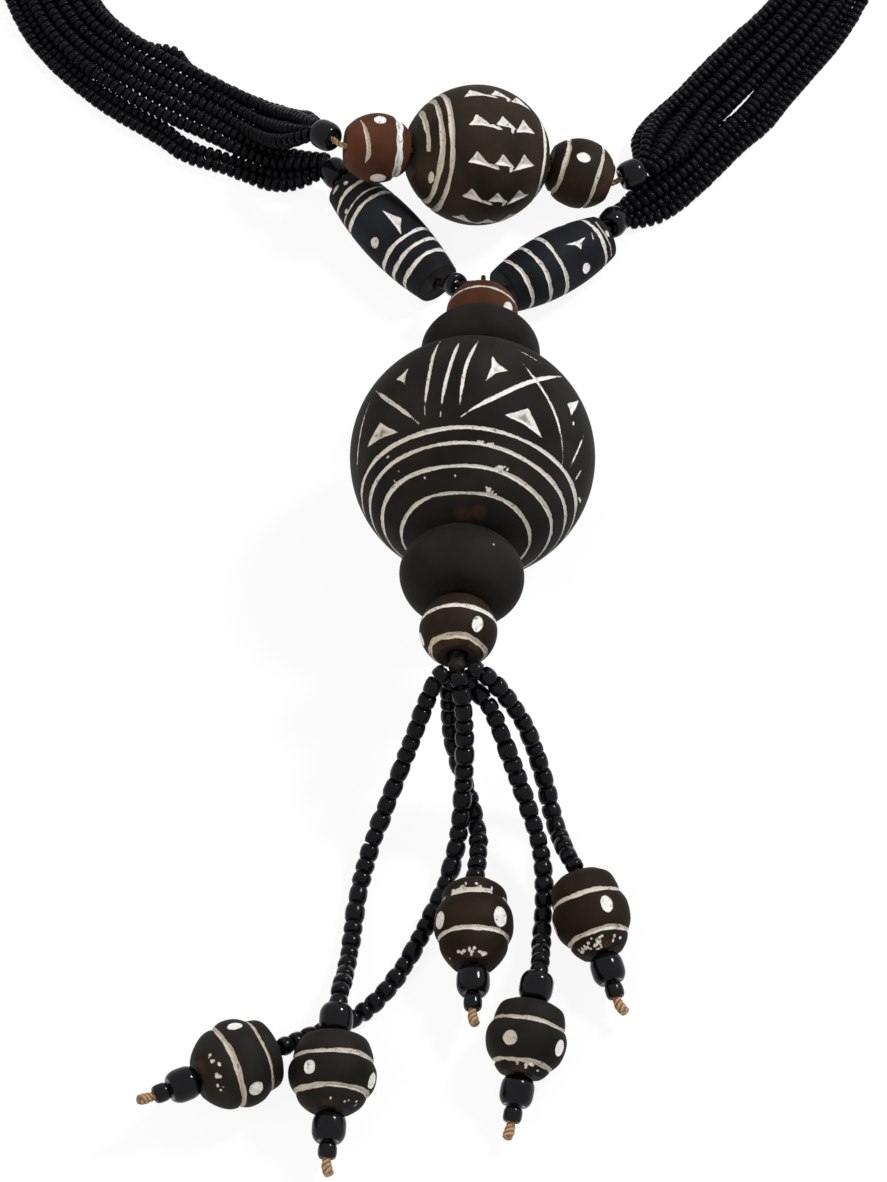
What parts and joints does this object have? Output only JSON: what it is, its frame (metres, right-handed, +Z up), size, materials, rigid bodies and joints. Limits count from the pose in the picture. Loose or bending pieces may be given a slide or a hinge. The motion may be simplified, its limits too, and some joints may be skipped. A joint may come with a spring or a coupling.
{
  "type": "beaded necklace",
  "caption": "Beaded necklace lying flat: a multi-strand seed-bead neck loop, a crossbar of incised clay beads, and a pendant stack with a large round focal bead and beaded tassels.",
  "frame": {"origin": "middle of the necklace's bounding box, on the table that it lies on", "axes": "+Y from the tassels to the back of the neck loop, +Z up from the table, +X to the right as the picture shows it"},
  "size_m": [0.1704, 0.3865, 0.04],
  "materials": {
    "clay_black": "satin",
    "clay_brown": "satin",
    "glass_bead": "gloss",
    "seed_bead": "gloss",
    "waxed_cord": "matte"
  },
  "bodies": {
    "loop": {"neck_strand_1": "seed_bead", "neck_strand_2": "seed_bead", "neck_strand_3": "seed_bead", "neck_strand_4": "seed_bead", "neck_strand_5": "seed_bead", "neck_strand_6": "seed_bead", "neck_strand_7": "seed_bead", "neck_strand_8": "seed_bead", "neck_strand_9": "seed_bead", "neck_strand_10": "seed_bead", "neck_strand_11": "seed_bead", "neck_strand_12": "seed_bead", "left_bar_gather_bead": "glass_bead", "left_tube_gather_bead": "glass_bead", "right_bar_gather_bead": "glass_bead", "right_tube_gather_bead": "glass_bead", "junction_bead": "glass_bead", "bar_cord": "waxed_cord", "hanger_cord": "waxed_cord"},
    "pendant": {"pendant_cord": "waxed_cord"},
    "tassels": {"tassel_cord_1": "waxed_cord", "tassel_cord_2": "waxed_cord", "tassel_cord_3": "waxed_cord", "tassel_cord_4": "waxed_cord", "tassel_cord_5": "waxed_cord", "tassel_seed_beads_1": "seed_bead", "tassel_seed_beads_2": "seed_bead", "tassel_seed_beads_3": "seed_bead", "tassel_seed_beads_4": "seed_bead", "tassel_seed_beads_5": "seed_bead", "tassel_stop_beads_1": "glass_bead", "tassel_stop_beads_2": "glass_bead", "tassel_stop_beads_3": "glass_bead", "tassel_stop_beads_4": "glass_bead", "tassel_stop_beads_5": "glass_bead"},
    "left_bar_bead_body": {"left_bar_bead": "clay_brown"},
    "barrel_bead_body": {"barrel_bead": "clay_black"},
    "right_bar_bead_body": {"right_bar_bead": "clay_black"},
    "left_tube_bead_body": {"left_tube_bead": "clay_black"},
    "right_tube_bead_body": {"right_tube_bead": "clay_black"},
    "cap_bead_body": {"cap_bead": "clay_brown"},
    "upper_disc_bead_body": {"upper_disc_bead": "clay_black"},
    "focal_bead_body": {"focal_bead": "clay_black"},
    "lower_disc_bead_body": {"lower_disc_bead": "clay_black"},
    "end_bead_body": {"end_bead": "clay_black"},
    "tassel_bead_1_body": {"tassel_bead_1": "clay_black"},
    "tassel_bead_2_body": {"tassel_bead_2": "clay_black"},
    "tassel_bead_3_body": {"tassel_bead_3": "clay_black"},
    "tassel_bead_4_body": {"tassel_bead_4": "clay_black"},
    "tassel_bead_5_body": {"tassel_bead_5": "clay_black"}
  },
  "joints": [
    {"name": "pendant_swing", "type": "hinge", "parent": "loop", "child": "pendant", "pos_m": [0.00679, -0.03239, 0.01358], "axis": [-1, 0, 0], "range_deg": [0, 60]},
    {"name": "tassel_swing", "type": "hinge", "parent": "pendant", "child": "tassels", "pos_m": [0.00211, -0.11647, 0.0256], "axis": [-1, 0, 0], "range_deg": [0, 40]},
    {"name": "left_bar_bead_spin", "type": "hinge", "parent": "loop", "child": "left_bar_bead_body", "pos_m": [-0.01154, -0.00511, 0.0165], "axis": [0.9792, 0.0685, -0.1908], "continuous": true},
    {"name": "barrel_bead_spin", "type": "hinge", "parent": "loop", "child": "barrel_bead_body", "pos_m": [0.0058, -0.0033, 0.01237], "axis": [0.9609, 0.118, -0.2504], "continuous": true},
    {"name": "right_bar_bead_spin", "type": "hinge", "parent": "loop", "child": "right_bar_bead_body", "pos_m": [0.02385, -0.00321, 0.00726], "axis": [0.9362, -0.182, -0.3007], "continuous": true},
    {"name": "left_tube_bead_spin", "type": "hinge", "parent": "loop", "child": "left_tube_bead_body", "pos_m": [-0.00892, -0.01566, 0.00555], "axis": [0.6018, -0.7986, 0], "continuous": true},
    {"name": "right_tube_bead_spin", "type": "hinge", "parent": "loop", "child": "right_tube_bead_body", "pos_m": [0.019, -0.0222, 0.00573], "axis": [-0.7967, -0.6003, 0.0698], "continuous": true},
    {"name": "cap_bead_spin", "type": "hinge", "parent": "pendant", "child": "cap_bead_body", "pos_m": [0.00653, -0.03989, 0.01477], "axis": [-0.0345, -0.9871, 0.1564], "continuous": true},
    {"name": "upper_disc_bead_spin", "type": "hinge", "parent": "pendant", "child": "upper_disc_bead_body", "pos_m": [0.0062, -0.04927, 0.01625], "axis": [-0.0345, -0.9871, 0.1564], "continuous": true},
    {"name": "focal_bead_spin", "type": "hinge", "parent": "pendant", "child": "focal_bead_body", "pos_m": [0.0047, -0.0732, 0.02005], "axis": [-0.0689, -0.9853, 0.1564], "continuous": true},
    {"name": "lower_disc_bead_spin", "type": "hinge", "parent": "pendant", "child": "lower_disc_bead_body", "pos_m": [0.0029, -0.09892, 0.02413], "axis": [-0.0689, -0.9853, 0.1564], "continuous": true},
    {"name": "end_bead_spin", "type": "hinge", "parent": "pendant", "child": "end_bead_body", "pos_m": [0.00234, -0.10978, 0.02525], "axis": [-0.0349, -0.998, 0.0523], "continuous": true},
    {"name": "tassel_bead_1_spin", "type": "hinge", "parent": "tassels", "child": "tassel_bead_1_body", "pos_m": [-0.0167, -0.177, 0.00685], "axis": [-0.0518, -0.9877, -0.1478], "continuous": true},
    {"name": "tassel_bead_2_spin", "type": "hinge", "parent": "tassels", "child": "tassel_bead_2_body", "pos_m": [-0.0312, -0.1756, 0.00695], "axis": [-0.893, -0.4356, 0.1132], "continuous": true},
    {"name": "tassel_bead_3_spin", "type": "hinge", "parent": "tassels", "child": "tassel_bead_3_body", "pos_m": [0.0047, -0.1517, 0.00625], "axis": [-0.0175, -0.9997, -0.0175], "continuous": true},
    {"name": "tassel_bead_4_spin", "type": "hinge", "parent": "tassels", "child": "tassel_bead_4_body", "pos_m": [0.0126, -0.1711, 0.00636], "axis": [-0.1851, -0.9525, -0.2419], "continuous": true},
    {"name": "tassel_bead_5_spin", "type": "hinge", "parent": "tassels", "child": "tassel_bead_5_body", "pos_m": [0.0228, -0.1497, 0.0062], "axis": [0.271, -0.9452, -0.1822], "continuous": true}
  ]
}
